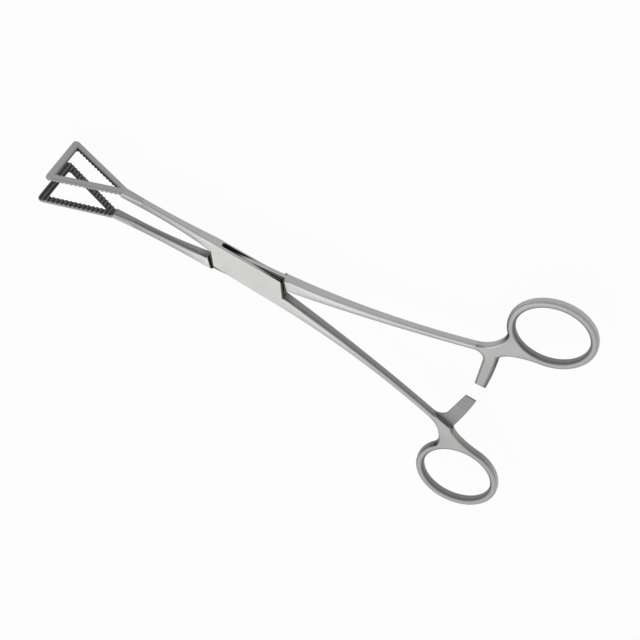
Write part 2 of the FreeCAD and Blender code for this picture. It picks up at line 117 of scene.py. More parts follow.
class ForcepsSizes(bpy.types.PropertyGroup):
    """The sizes of both halves, drawn closed with the jaw line along +X."""

    opening: FloatProperty(name="Opening", description="Angle between the halves, counted from closed jaws",
                           default=math.radians(6.6), subtype="ANGLE")
    box_end: length("Box end", 16.1, "Pivot to each end of the box lock")
    box_thick: length("Box thickness", 4.6, "Over both cheeks")
    crown: length("Crown", 0.17, "How far the sides of shanks and arms stand out at their middle")
    box_round: length("Box rounding", 0.6, "Rounding of the box's long edges")
    cheek_slant: length("Cheek slant", 3.6, "How far each cheek's slanted end leans back")
    slot_half: length("Slot half height", 1.1, "Middle of the box to the inside of a cheek")
    shank_end: length("Shank end", 46.0, "Pivot to the heel of the jaw")
    shank_offset: length("Shank offset", 2.75, "Jaw line to the shank's centre at the box")
    shank_end_offset: length("Shank end offset", 2.4, "Jaw line to the shank's centre at the jaw")
    shank_width: length("Shank width", 4.1, "At the box")
    shank_end_width: length("Shank end width", 2.9, "At the jaw")
    shank_end_thick: length("Shank end thickness", 3.0, "At the jaw")
    shank_bow: length("Shank bow", 0.17, "How far its middle stands out")
    shank_round: length("Shank rounding", 0.75, "Edges at the jaw")
    shank_soft: length("Shank softness", 1.2, "Edges along the middle of the shank")
    arm_soft: length("Arm softness", 1.3, "Edges along the middle of the arm")
    arm_offset: length("Arm offset", 3.1, "Jaw line to the arm's centre at the box")
    arm_width: length("Arm width", 4.6, "At the box")
    arm_end_width: length("Arm end width", 2.7, "At the ring")
    arm_end_thick: length("Arm end thickness", 3.6, "At the ring")
    arm_bend: length("Arm bend radius", 436.0, "Radius of the arm's bow")
    ring_x: length("Ring place", 108.0, "Pivot to the ring's centre along the jaw line")
    ring_outset: length("Ring outset", 19.5, "Ring's centre beyond the arm's end")
    ring_long: length("Ring half length", 15.2, "Half axis of the middle of the wall")
    ring_short: length("Ring half width", 12.75, "The other half axis")
    ring_wall: length("Ring wall", 3.0, "Width of the ring's wall")
    ring_tilt: FloatProperty(name="Ring tilt", description="Turn of the ring's long axis",
                             default=math.radians(3.2), subtype="ANGLE")
    root_length: length("Root length", 22.0, "Ring's centre back to the arm's end")
    handle_round: length("Handle rounding", 1.2, "Edges of the arms, rings, roots and bars")
    bar_setback: length("Bar setback", 8.5, "Arm's end to the middle of the ratchet bars")
    bar_width: length("Bar width", 4.5, "Ratchet bar at its tip")
    bar_flare: length("Bar flare", 0.9, "How much wider the bar is at its root")
    bar_reach: length("Bar reach", 1.1, "How far the bar passes the jaw line when closed")
    bar_arm_blend: length("Arm blend", 2.8, "Reach of the blend between bar and arm")
    bar_ring_blend: length("Ring blend", 5.6, "Reach of the blend between bar and ring")
    bar_gap: length("Bar gap", 0.1, "Between the crests of the two bars")
    bar_pitch: length("Ratchet pitch", 1.5, "Tooth to tooth")
    bar_depth: length("Ratchet depth", 0.5, "Depth of the teeth")
    jaw_length: length("Jaw length", 26.0, "Tip to the end of the serrations")
    jaw_width: length("Jaw width", 28.0, "Across the tip")
    jaw_heel: length("Jaw heel", 4.15, "Across the frame where the serrations end")
    jaw_bar: length("Jaw bar", 2.85, "Width of the frame's bars")
    jaw_tip: length("Jaw tip", 79.9, "Pivot to the jaw's outer edge")
    jaw_depth: length("Serration depth", 0.45, "Depth of the grooves")
    jaw_gap: length("Jaw gap", 0.06, "Between the tips when closed")
    jaw_tilt: FloatProperty(name="Jaw tilt", description="How far each face opens from tip to heel",
                            default=math.radians(4.4), subtype="ANGLE")
    edge_break: length("Broken edge", 0.22, "Width of the bevels at the box lock")
    jaw_break: length("Jaw edge", 0.05, "Width of the bevels on the jaws")


class ForcepsLook(bpy.types.PropertyGroup):
    """Colours of the steel and of the stage."""

    steel: FloatVectorProperty(name="Steel", description="Reflected colour of the satin steel",
                               default=(0.525, 0.52, 0.51), subtype="COLOR", min=0, max=1)
    # Painted shade: the dark colour mixed in where shade is painted, in grooves, joints, the slot, hollows
    # and on the jaws
    shade_colour: FloatVectorProperty(name="Groove", description="Colour at the bottom of grooves and joints",
                                default=(0.035, 0.034, 0.033), subtype="COLOR", min=0, max=1)
    # Painted shade: the serrations' crests are painted dark
    shaded_crest: FloatVectorProperty(name="Crest", description="Colour of the serrations' crests",
                               default=(0.16, 0.157, 0.153), subtype="COLOR", min=0, max=1)
    roughness: FloatProperty(name="Roughness", description="Mean roughness of the satin finish",
                             default=0.38, min=0, max=1, subtype="FACTOR")
    floor: FloatVectorProperty(name="Floor", description="Colour of the floor",
                               default=(0.8, 0.8, 0.8), subtype="COLOR", min=0, max=1)
    reflected: FloatProperty(name="Reflected white", default=0.6, min=0, max=1, subtype="FACTOR",
                             description="How much of the white background the steel shows")


def sizes():
    return bpy.context.scene.forceps_sizes


def look():
    return bpy.context.scene.forceps_look


def posed(points, male):
    """Turns points from the closed drawing into the half-open pose.
    The male half is turned over about X, then each half turns half the opening about the pivot."""
    flip = -1 if male else 1
    turn = sizes().opening / 2 * -flip
    x, y, z = points[..., 0], points[..., 1] * flip, points[..., 2] * flip
    return np.stack([x * math.cos(turn) - y * math.sin(turn),
                     x * math.sin(turn) + y * math.cos(turn), z + PIVOT_Z], -1)


def grid_faces(rows, columns, wrap_rows):
    """Four corners of each cell of a grid whose columns close on themselves."""
    row = np.arange(rows if wrap_rows else rows - 1)[:, None]
    column = np.arange(columns)[None, :]
    here, beyond = row * columns, (row + 1) % rows * columns
    left, right = column, (column + 1) % columns
    cells = np.stack([here + left, here + right, beyond + right, beyond + left], -1)
    return cells.reshape(-1, 4)


def enclosed(points, cells):
    """Six times the volume inside the cells, from the triple products of their corners."""
    a, b, c, d = (points[cells[:, corner]] for corner in range(4))
    return np.sum(np.cross(b, c) * a) + np.sum(np.cross(c, d) * a)


def finish_piece(node, grid, marks, wrap_rows, male):
    """Makes the satin piece that replaces a node from a grid of points, and closes its ends.
    Each mark is a value at every point that the steel reads by its name."""
    rows, columns = grid.shape[:2]
    points = posed(grid, male).reshape(-1, 3)
    cells = grid_faces(rows, columns, wrap_rows)
    faces = cells.tolist()
    if not wrap_rows:
        first = np.arange(columns)
        faces.append(first[::-1].tolist())
        faces.append((first + (rows - 1) * columns).tolist())
    middle = points.mean(0)
    if enclosed(points - middle, cells) < 0:
        faces = [face[::-1] for face in faces]
    name = node + "_satin"
    mesh = bpy.data.meshes.new(name)
    mesh.from_pydata(points.tolist(), [], faces)
    for mark, value in marks.items():
        layer = mesh.attributes.new(mark, "FLOAT", "POINT")
        layer.data.foreach_set("value", value.reshape(-1).astype(float))
    mesh.polygons.foreach_set("use_smooth", [True] * len(mesh.polygons))
    mesh.set_sharp_from_angle(angle=SHARP_ANGLE)
    mesh.update()
    dress(bpy.data.objects.new(name, mesh), male, bpy.data.materials["satin steel"], [node])


def dress(piece, male, material, nodes):
    """Links a piece, gives it its steel and ties it to its half."""
    bpy.context.scene.collection.objects.link(piece)
    piece.data.materials.clear()
    piece.data.materials.append(material)
    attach(piece, "male_half" if male else "box_half")
    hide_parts(*nodes)
    return piece


def half_name(male):
    return "male_half" if male else "box_half"


def section_pattern():
    """One loop round a rounded rectangle, as two pairs of factors.
    y is side_y times the flat half width plus bend_y times the rounding, and z likewise."""
    step = np.linspace(0, 1, CORNER_STEPS + 1)
    slide = np.linspace(0, 1, FLAT_STEPS + 1)[1:-1]
    corners = np.array([[1, 1], [-1, 1], [-1, -1], [1, -1]], float)
    start = np.arange(4)[:, None] * math.pi / 2
    turn = np.concatenate([start + step * math.pi / 2,
                           np.repeat(start + math.pi / 2, len(slide), 1)], 1)
    move = np.concatenate([0 * step, slide])
    after = np.roll(corners, -1, 0)
    side = corners[:, None, :] * (1 - move[:, None]) + after[:, None, :] * move[:, None]
    return (side[..., 0].ravel(), np.cos(turn).ravel(), side[..., 1].ravel(), np.sin(turn).ravel())


def taper(start, end, share):
    """Falls quickly from start and levels out at end."""
    return end + (start - end) * (1 - share) ** 2


def eased(share):
    """0 to 1, level at both ends."""
    share = np.clip(share, 0, 1)
    return share * share * (3 - 2 * share)


def shaft_grid(x, middle, width, thick, rounding, crown, inner, dullness, inner_shade):
    """A bar along X: at each x a rounded rectangle about the middle line.
    Each side stands out by the crown at its centre, falling off with the square of the distance.
    The side towards the other half, at inner times Y, is duller and darker with painted shade by the
    share given for it, with painted dark ridges and painted shade where it meets the box. The outer side
    is painted lighter."""
    side_y, bend_y, side_z, bend_z = section_pattern()
    x, middle, width, thick, rounding, crown, dullness = (
        value[:, None] for value in (x, middle, width, thick, rounding, crown, dullness))
    y = middle + side_y * (width / 2 - rounding) + bend_y * (rounding - crown * side_z ** 2)
    z = side_z * (thick / 2 - rounding) + bend_z * (rounding - crown * side_y ** 2)
    ridge, inside, outside = 2 * np.abs(bend_y * bend_z), eased(inner * bend_y), eased(-inner * bend_y)
    shade_by_lock = eased(1 - (np.abs(x) - sizes().box_end) / LOCK_SHADE_REACH)
    # Painted shade on the inner side, on its ridges and by the box; painted light on the outer side
    marks = {"edge": ridge * (1 - inside) + 0 * x,
             "dull_and_shade": dullness * (1 - 0.85 * outside) + (1 - dullness) * inner_shade * inside + 0 * x,
             "painted_shade": inside * (0.6 * shade_by_lock + 0.3 * ridge)}
    return np.stack([x + 0 * y, y, z], -1), marks


def softened(straight, soft, share):
    """The rounding of a bar, softer between its ends, and how much wider and thicker the bar grows
    there, so that it reaches as far across its corners as with the straight rounding."""
    rounding = straight + (soft - straight) * eased(share / 0.2) * eased((1 - share) / 0.2)
    return rounding, (2 - math.sqrt(2)) * (rounding - straight)


def arm_middle(x):
    """Height of the arm's centre line: a slope at the box and a steady bend."""
    s = sizes()
    run = x - s.box_end
    return s.arm_offset + ARM_LEAVE_SLOPE * run + run ** 2 / (2 * s.arm_bend)


def make_arm(male):
    """The bowed bar to the ring, its section falling from the box's to the root's."""
    s = sizes()
    share = np.linspace(0, 1, SHAFT_STATIONS)
    x = s.box_end + (s.ring_x - s.root_length - s.box_end) * share
    rounding, growth = softened(s.box_round + (s.handle_round - s.box_round) * share, s.arm_soft, share)
    width = taper(s.arm_width, s.arm_end_width, share) + growth
    thick = taper(s.box_thick, s.arm_end_thick, share) + growth
    crown = s.crown * np.sin(math.pi * share)
    grid, marks = shaft_grid(-x, arm_middle(x), width, thick, rounding, crown, -1, 0.35 * share, 0.8)
    finish_piece(half_name(male) + "_arm", grid, marks, False, male)


def make_shank(male):
    """The slim bar to the jaw, a little bowed, its section falling from the box's."""
    s = sizes()
    share = np.linspace(0, 1, SHAFT_STATIONS)
    x = s.box_end + (s.shank_end - s.box_end) * share
    bow = 4 * s.shank_bow * share * (1 - share)
    middle = -s.shank_offset * (1 - share) - s.shank_end_offset * share - bow
    rounding, growth = softened(s.box_round + (s.shank_round - s.box_round) * share, s.shank_soft, share)
    width = taper(s.shank_width, s.shank_end_width, share) + growth
    thick = taper(s.box_thick, s.shank_end_thick, share) + growth
    crown = s.crown * np.sin(math.pi * share)
    dullness = 0.25 * eased(share / 0.3) + 0.6 * share ** 1.5
    grid, marks = shaft_grid(x, middle, width, thick, rounding, crown, 1, dullness, 0.65)
    finish_piece(half_name(male) + "_shank", grid, marks, False, male)


def ellipse(angle, inset):
    """Points of the ring's edge, the ellipse about the tilted centre, set in from the wall's middle."""
    s = sizes()
    along = (s.ring_long - inset) * np.cos(angle)
    across = (s.ring_short - inset) * np.sin(angle)
    turn = -s.ring_tilt
    height = arm_middle(s.ring_x - s.root_length) + s.ring_outset
    return np.stack([-s.ring_x + along * math.cos(turn) - across * math.sin(turn),
                     height + along * math.sin(turn) + across * math.cos(turn)], -1)


def ellipse_way(angle, inset):
    """Direction of that edge."""
    step = 1e-4
    ahead, behind = ellipse(np.array([angle + step, angle - step]), inset)
    return ahead - behind


def blend(start, start_way, end, end_way, fullness, share):
    """A conic from start to end, drawn into the corner where their directions meet."""
    cross = start_way[0] * end_way[1] - start_way[1] * end_way[0]
    gap = end - start
    corner = start + start_way * ((gap[0] * end_way[1] - gap[1] * end_way[0]) / cross)
    t = share[:, None]
    low, middle, high = (1 - t) ** 2, 2 * t * (1 - t) * fullness, t ** 2
    return (low * start + middle * corner + high * end) / (low + middle + high)


def bar_edge(radius, y):
    """A point of the bars' arc about the pivot."""
    return np.stack([-np.sqrt(radius ** 2 - y ** 2), y + 0 * radius], -1)


def resampled(path, share):
    """Points of a path at shares of its length."""
    run = np.concatenate([[0], np.cumsum(np.hypot(*np.diff(path, axis=0).T))])
    run /= run[-1]
    return np.stack([np.interp(share, run, path[:, 0]), np.interp(share, run, path[:, 1])], -1)


class HandleOutline:
    """The flat outline of ring, root and ratchet bar, as paths of points."""

    def __init__(self):
        s = sizes()
        many = np.linspace(0, 1, BLEND_STATIONS)
        arm_end = s.ring_x - s.root_length
        slope = ARM_LEAVE_SLOPE + (arm_end - s.box_end) / s.arm_bend
        self.half_wall = s.ring_wall / 2 - RIM_CLEARANCE
        self.arm_way = np.array([-1, slope])
        self.arm_out = np.array([-arm_end, arm_middle(arm_end) + s.arm_end_width / 2])
        self.arm_in = np.array([-arm_end, arm_middle(arm_end) - s.arm_end_width / 2])
        self.place_bar(arm_end + s.bar_setback)
        self.outer_blend = blend(self.arm_out, self.arm_way, *self.landing(ROOT_OUTER_ANGLE),
                                 ROOT_OUTER_FULLNESS, many)
        self.arm_blend = blend(self.near_root, self.near_root - self.near_tip, self.arm_in, self.arm_way,
                               BAR_BLEND_FULLNESS, many)
        self.angles = np.linspace(ROOT_OUTER_ANGLE, ROOT_INNER_ANGLE + 2 * math.pi, RING_STATIONS)
        self.ring_edge = ellipse(self.angles, -self.half_wall)
        self.far_side = bar_edge(self.far_radius, np.linspace(self.far_root[1], -s.bar_reach, 60))
        inner_blend = self.inner_blend(many)
        tip = np.stack([self.far_side[-1], self.near_tip])
        near_side = np.stack([self.near_tip, self.near_root])
        hole = ellipse(np.linspace(0, 2 * math.pi, 400), self.half_wall)
        self.rims = [self.outer_blend, self.ring_edge, inner_blend, self.far_side, tip, near_side,
                     self.arm_blend, hole]
        beside_arm = (inner_blend - self.arm_in) @ np.array([slope, 1])
        crossing = np.interp(0, -beside_arm, many)
        self.root_edge = self.inner_blend(np.linspace(0, crossing, 48))
        self.far_rest = self.inner_blend(np.linspace(1, crossing, 40))

    def place_bar(self, radius):
        """The corners of the ratchet bar, whose sides are arcs about the pivot."""
        s = sizes()
        near_radius = radius - s.bar_width / 2
        self.far_radius = radius + s.bar_width / 2
        self.near_tip = bar_edge(near_radius, np.array(-s.bar_reach))
        self.near_root = bar_edge(near_radius - s.bar_flare, np.array(self.arm_in[1] - s.bar_arm_blend))
        ring_low = ellipse(np.array([-math.pi / 2]), -self.half_wall)[0, 1]
        self.far_root = bar_edge(self.far_radius, np.array(ring_low - s.bar_ring_blend))

    def landing(self, angle):
        """Where a blend lands on the ring, and the ring's direction there."""
        return ellipse(np.array([angle]), -self.half_wall)[0], ellipse_way(angle, -self.half_wall)

    def inner_blend(self, share):
        """The blend from the ring to the far side of the bar, at shares of its way."""
        far_way = np.array([self.far_root[1], -self.far_root[0]])
        return blend(*self.landing(ROOT_INNER_ANGLE), self.far_root, far_way, ROOT_INNER_FULLNESS, share)

    def height(self, flat):
        """Half the thickness over a flat point: full inside, and a quarter circle down to each rim.
        The distance to a rim is the least distance to any of its straight pieces."""
        s = sizes()
        nearest = np.full(flat.shape[:-1], 1.0)
        for rim in self.rims:
            start, run = rim[:-1], np.diff(rim, axis=0)
            gap = flat[..., None, :] - start
            share = np.clip((gap * run).sum(-1) / (run ** 2).sum(-1), 0, 1)
            away = np.sqrt(((gap - share[..., None] * run) ** 2).sum(-1)).min(-1)
            nearest = np.minimum(nearest, away)
        r = s.handle_round
        steep = np.clip(1 - nearest / r, 0, 1)
        return s.arm_end_thick / 2 - r + r * np.sqrt(1 - steep ** 2), steep


def across(rounding, span, middle_steps):
    """Shares of the way from one rim to the other: close together where the edges bend."""
    bend = np.linspace(0, math.pi / 2, CORNER_STEPS + 1)
    inset = rounding * (1 - np.cos(bend)) / span[:, None]
    low = inset
    high = 1 - inset[:, ::-1]
    slide = np.linspace(0, 1, middle_steps + 2)[1:-1]
    middle = low[:, -1:] + (high[:, :1] - low[:, -1:]) * slide
    return np.concatenate([low, middle, high], 1)


def hollow_bends(path, gentle, tight):
    """How hollow a closed path is, run anticlockwise: 1 where it bends inwards with the tight radius
    or less, and 0 from the gentle one on. The bend is the turn of its direction over its length."""
    way = np.roll(path, -1, 0) - np.roll(path, 1, 0)
    heading = way[:, 0] + 1j * way[:, 1]
    turn = np.angle(np.roll(heading, -1) * np.conj(np.roll(heading, 1)))
    hollow = eased((-turn / np.abs(heading) - 1 / gentle) / (1 / tight - 1 / gentle))
    near = 7
    around = np.concatenate([hollow[-near:], hollow, hollow[:near]])
    return np.convolve(around, np.full(2 * near + 1, 1 / (2 * near + 1)), "valid")


def ridge(steep):
    """1 halfway round a rounded edge, and 0 where it begins and ends."""
    return 2 * steep * np.sqrt(1 - steep ** 2)


def root_band(shape):
    """The outline of ring and root, the angle on the hole that each of its points faces, and how far
    the band there is drawn to the root's middle."""
    sides = [shape.root_edge[:-1],
             resampled(np.stack([shape.root_edge[-1], shape.arm_in]), np.linspace(0, 1, 30))[:-1],
             resampled(np.stack([shape.arm_in, shape.arm_out]), np.linspace(0, 1, 18))[:-1],
             shape.outer_blend[:-1:4]]
    turns = [shape.angles[:-1]]
    pull = [0 * turns[0]]
    for corner, side in enumerate(sides):
        step = np.linspace(0, 1, len(side) + 1)[:-1]
        turns.append(HOLE_ANGLES[corner] + (HOLE_ANGLES[corner + 1] - HOLE_ANGLES[corner]) * step)
        pull.append(ROOT_PULLS[corner] + (ROOT_PULLS[corner + 1] - ROOT_PULLS[corner]) * eased(step))
    return np.concatenate([shape.ring_edge[:-1], *sides]), np.concatenate(turns), np.concatenate(pull)


def ring_marks(outline, at_root, outside, steep):
    """Marks over one side of the ring and its root. The wall of the hole is dull and darkened by painted
    shade, and so is the outer flank where it faces the jaws or the other half. The hollow fillets of the
    outline and the ridges of those flanks carry dark painted shade."""
    way = np.roll(outline, -1, 0) - np.roll(outline, 1, 0)
    out = np.stack([way[:, 1], -way[:, 0]], -1) / np.hypot(*way.T)[:, None]
    # Painted shade by the way the outline faces: most towards the jaws and the other half
    side = np.where(outside, 0.1 + 0.9 * np.clip(0.75 * out[:, :1] - out[:, 1:], 0, 1), 1)
    edge = ridge(steep)
    base = 0.5 - 0.12 * at_root
    # Painted shade halfway round the rims of the ring narrows its highlight
    dull_and_shade = base + 0.8 * (1 - at_root) * steep * (1 - steep) + (side - base) * eased(steep)
    # Painted shade in the hollow fillets and on the ridges of the flanks that face the jaws or the other
    # half
    fillet = hollow_bends(outline, GENTLE_FILLET, TIGHT_FILLET)[:, None] * outside
    painted_shade = 0.95 * fillet * eased(2 * steep) + 0.35 * (1 + at_root) * edge * np.clip(2 * side - 1, 0, 1)
    return {"edge": edge, "dull_and_shade": dull_and_shade, "painted_shade": painted_shade}


def make_ring(male):
    """The finger ring and its root: a band between the hole and the outline, domed at both rims.
    Across the band a point goes from the hole to the outline, straight on the ring, and on a
    quadratic curve that bends through the root's middle where the root leaves the ring. Its height
    is the outline's height function, above and below."""
    s = sizes()
    shape = HandleOutline()
    outline, turns, pull = root_band(shape)
    pull = pull[:, None]
    inner = ellipse(turns, s.ring_wall / 2)
    span = np.hypot(*(outline - inner).T)
    share = across(s.handle_round, span, 26)[..., None]
    run = shape.arm_out[0] - shape.root_edge[-1, 0] + 1 * MM
    heart = shape.arm_out + shape.arm_way * run - np.array([0, 0.4 * MM])
    bent = (inner + outline) / 2 + (heart - (inner + outline) / 2) * pull
    inner, outer, bent = inner[:, None], outline[:, None], bent[:, None]
    flat = (1 - share) ** 2 * inner + 2 * share * (1 - share) * bent + share ** 2 * outer
    high, steep = shape.height(flat)
    top = np.concatenate([flat, high[..., None]], -1)
    bottom = np.concatenate([flat, -high[..., None]], -1)[:, ::-1]
    marks = {mark: np.concatenate([value, value[:, ::-1]], 1)
             for mark, value in ring_marks(outline, pull, share[..., 0] > 0.5, steep).items()}
    finish_piece(half_name(male) + "_ring", np.concatenate([top, bottom], 1), marks, True, male)


def first_tooth():
    """Where the first tooth of a ratchet bar begins, across the jaw line."""
    s = sizes()
    return -s.bar_reach + s.bar_pitch / 2


def tooth_height(y):
    """Height of the toothed side: each tooth drops steeply and climbs back over one pitch."""
    s = sizes()
    phase = (y - first_tooth()) / s.bar_pitch
    cut = 1 - (phase - np.floor(phase))
    return -s.bar_gap / 2 - np.where((phase >= 0) & (phase < BAR_TEETH), s.bar_depth * cut, 0)


def ratchet_sides(shape):
    """Points from the tip to the root along the bar's side towards the arm and its side towards the
    ring, close together at the tip and at each tooth's step. Also how many lie on the bar itself."""
    s = sizes()
    bend = np.linspace(0, math.pi / 2, CORNER_STEPS + 1)
    tip = -s.bar_reach + s.handle_round * (1 - np.cos(bend))
    steps = first_tooth() + s.bar_pitch * np.arange(BAR_TEETH + 1)
    plain = np.linspace(-s.bar_reach, shape.near_root[1], 70)
    y = np.unique(np.concatenate([tip, steps, steps - TOOTH_STEP, plain]))
    level = ((y - shape.near_tip[1]) / (shape.near_root[1] - shape.near_tip[1]))[:, None]
    near = np.concatenate([shape.near_tip + (shape.near_root - shape.near_tip) * level,
                           resampled(shape.arm_blend, np.linspace(0, 1, 40))[1:]])
    rise = np.linspace(shape.near_root[1], shape.far_side[0, 1], 30)
    beyond = np.concatenate([bar_edge(shape.far_radius, rise), shape.far_rest[1:]])
    far = np.concatenate([bar_edge(shape.far_radius, y), resampled(beyond, np.linspace(0, 1, 40))[1:]])
    return near, far, len(y)


def make_ratchet(male):
    """The bar on the lower half of the root's thickness, with its teeth facing up.
    A section goes from the side towards the arm to the side towards the ring and back."""
    s = sizes()
    shape = HandleOutline()
    near, far, on_bar = ratchet_sides(shape)
    span = np.hypot(*(far - near).T)
    share = across(s.handle_round, span, 6)
    flat = near[:, None] + (far - near)[:, None] * share[..., None]
    low, steep = shape.height(flat)
    rim = np.minimum(share, 1 - share) * span[:, None]
    teeth = tooth_height(flat[..., 1]) - np.clip(BAR_BREAK - rim, 0, 1)
    bottom = np.concatenate([flat, -low[..., None]], -1)
    top = np.concatenate([flat, teeth[..., None]], -1)[:, ::-1]
    # Painted shade in the notches between the teeth, near the root, in a band along the ring's side and
    # round the rims past the bar; the toothed side is duller and darker
    notch = np.clip((-s.bar_gap / 2 - BAR_BREAK - teeth) / (0.3 * MM), 0, 1)[:, ::-1]
    flat_mark = 0 * steep
    rising = eased((np.arange(len(flat)) - on_bar) / 12 + 0.5)[:, None]
    near_root = eased(np.linspace(-1.2, 1, len(flat)))[:, None]
    ring_side = eased((BAR_SHADE_REACH - (1 - share) * span[:, None]) / BAR_SHADE_FADE)
    shaded = 0.6 * ring_side + 0.25 * rising * eased(2.2 * steep)
    marks = {"edge": np.concatenate([ridge(steep), flat_mark], 1),
             "dull_and_shade": np.concatenate([0.52 - 0.14 * near_root + 0.45 * eased(steep), flat_mark + 0.85], 1),
             "painted_shade": np.concatenate([shaded, 0.45 * notch + 0.25 * near_root], 1)}
    finish_piece(half_name(male) + "_ratchet", np.concatenate([bottom, top], 1), marks, False, male)


def make_broken_edges(node, male, material, width, ends):
    """A copy of a ground part whose sharp edges are broken by small bevels.
    Edges that lie in an end plane, where the next section goes on, stay as they are."""
    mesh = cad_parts[node].data.copy()
    mesh.name = node + "_ground"
    build = bmesh.new()
    build.from_mesh(mesh)
    bmesh.ops.remove_doubles(build, verts=build.verts, dist=WELD)
    bmesh.ops.dissolve_limit(build, angle_limit=FLAT_ANGLE, verts=build.verts, edges=build.edges)
    build.to_mesh(mesh)
    build.free()
    place = np.empty(len(mesh.vertices) * 3)
    mesh.vertices.foreach_get("co", place)
    turn = sizes().opening / 2 * (1 if male else -1)
    x = place.reshape(-1, 3) @ np.array([math.cos(turn), math.sin(turn), 0])
    at_end = np.min([np.abs(x - end) for end in ends], 0) < END_REACH
    pairs = np.empty(len(mesh.edges) * 2, int)
    mesh.edges.foreach_get("vertices", pairs)
    broken = 1.0 - at_end[pairs.reshape(-1, 2)].all(1)
    mesh.polygons.foreach_set("use_smooth", [True] * len(mesh.polygons))
    mesh.set_sharp_from_angle(angle=SHARP_ANGLE)
    sharp = np.empty(len(mesh.edges), bool)
    mesh.attributes["sharp_edge"].data.foreach_get("value", sharp)
    weight = mesh.attributes.new("bevel_weight_edge", "FLOAT", "EDGE")
    weight.data.foreach_set("value", broken * sharp)
    piece = dress(bpy.data.objects.new(node + "_ground", mesh), male, material, [node])
    bevel = piece.modifiers.new("Broken edges", "BEVEL")
    bevel.width = width
    bevel.segments = 2
    bevel.limit_method = "WEIGHT"
    even = piece.modifiers.new("Even shading", "WEIGHTED_NORMAL")
    even.keep_sharp = True


class Value:
    """A value inside a shader. Sums, products and the like add Math nodes."""

    def __init__(self, recipe, socket):
        self.recipe = recipe
        self.socket = socket

    def math(self, operation, *others):
        inputs = dict(enumerate((self, *others)))
        return self.recipe.node("ShaderNodeMath", {"operation": operation}, inputs)

    def __add__(self, other):
        return self.math("ADD", other)

    __radd__ = __add__

    def __sub__(self, other):
        return self.math("SUBTRACT", other)

    def __rsub__(self, other):
        return self.recipe.node("ShaderNodeMath", {"operation": "SUBTRACT"}, {0: other, 1: self})

    def __mul__(self, other):
        return self.math("MULTIPLY", other)

    __rmul__ = __mul__

    def clamp(self):
        return self.recipe.node("ShaderNodeClamp", {}, {0: self})

    def ramp(self, low, high):
        """0 below low, 1 above high and smooth between."""
        return self.recipe.node("ShaderNodeMapRange", {"interpolation_type": "SMOOTHSTEP"},
                                {"Value": self, "From Min": low, "From Max": high})


class Recipe:
    """Makes the nodes of one material or of the world."""

    def __init__(self, tree):
        self.tree = tree
        self.tree.nodes.clear()

    def node(self, kind, settings, inputs, output=0):
        made = self.tree.nodes.new(kind)
        for key, value in settings.items():
            setattr(made, key, value)
        for key, value in inputs.items():
            if isinstance(value, Value):
                self.tree.links.new(value.socket, made.inputs[key])
            else:
                made.inputs[key].default_value = value
        return Value(self, made.outputs[output]) if len(made.outputs) else made

    def mix(self, share, first, second):
        return self.node("ShaderNodeMix", {"data_type": "RGBA"}, {0: share, 6: first, 7: second}, 2)

    def place(self, turn=(0, 0, 0), scale=(1, 1, 1)):
        """The point on the object, turned and then stretched."""
        point = self.node("ShaderNodeTexCoord", {}, {}, 3)
        turned = self.node("ShaderNodeVectorRotate", {"rotation_type": "EULER_XYZ"},
                           {"Vector": point, "Rotation": turn})
        return self.node("ShaderNodeVectorMath", {"operation": "MULTIPLY"}, {0: turned, 1: scale})

    def noise(self, place):
        return self.node("ShaderNodeTexNoise", {}, {"Vector": place, "Scale": 1.0, "Detail": 2.0,
                                                    "Roughness": 0.55})

    def mark(self, name):
        """The value that a piece carries at every point under this name."""
        return self.node("ShaderNodeAttribute", {"attribute_name": name}, {}, "Fac")

    def split(self, place, axis):
        return self.node("ShaderNodeSeparateXYZ", {}, {0: place}, axis)


def rgba(colour, factor=1.0):
    return (colour[0] * factor, colour[1] * factor, colour[2] * factor, 1.0)


def steel_finish(recipe, grain_turn, brush):
    """Shared by all steels: fine grain, faint brushing along the part, cloudy tone, and duller and darker
    where a piece marks dull steel and painted shade. Returns the colour, the roughness and the height
    of the grain."""
    cloud = recipe.noise(recipe.place(scale=(160, 160, 160)))
    grain = recipe.noise(recipe.place(scale=(5200, 5200, 5200)))
    lines = recipe.noise(recipe.place(grain_turn, (260, 5200, 5200)))
    worn, dull_and_shade = recipe.mark("edge"), recipe.mark("dull_and_shade")
    tone = (cloud - 0.5) * 0.9 + (grain - 0.5) * 0.4 + (lines - 0.5) * (0.8 * brush)
    bright = (tone + 0.5 + worn * 0.10).clamp()
    steel = look().steel
    buffed = recipe.mix(bright, rgba(steel, 0.88), rgba(steel, 1.12))
    # Dull steel and painted shade: towards half the steel's colour, and rougher, where a piece marks it
    colour = recipe.mix(dull_and_shade, buffed, rgba(steel, 0.5))
    rough = (tone * 0.12 + look().roughness - worn * 0.05 + dull_and_shade * 0.08).clamp()
    height = grain * (1 - brush * 0.5) + lines * brush
    return colour, rough, height


def steel_material(name, grain_turn=(0, 0, 0), brush=0.6):
    """Satin stainless steel, darker where a piece marks painted shade."""
    recipe = new_recipe(name)
    colour, rough, height = steel_finish(recipe, grain_turn, brush)
    # Painted shade: towards the shade colour where a piece marks it
    shaded = recipe.mix(recipe.mark("painted_shade") * 0.85, colour, rgba(look().shade_colour))
    shade_steel(recipe, shaded, rough, height)


def new_recipe(name):
    material = bpy.data.materials.new(name)
    material.use_nodes = True
    return Recipe(material.node_tree)


def shade_steel(recipe, colour, rough, height):
    bump = recipe.node("ShaderNodeBump", {}, {"Strength": 0.12, "Distance": 0.00003, "Height": height})
    shader = recipe.node("ShaderNodeBsdfPrincipled", {}, {"Base Color": colour, "Metallic": 1.0,
                                                          "Roughness": rough, "Normal": bump})
    recipe.node("ShaderNodeOutputMaterial", {}, {"Surface": shader})


def closed_place(recipe, male):
    """The point turned back about the pivot, as the half lies when the jaws are closed."""
    turn = sizes().opening / 2 * (-1 if male else 1)
    return recipe.place((0, 0, turn))


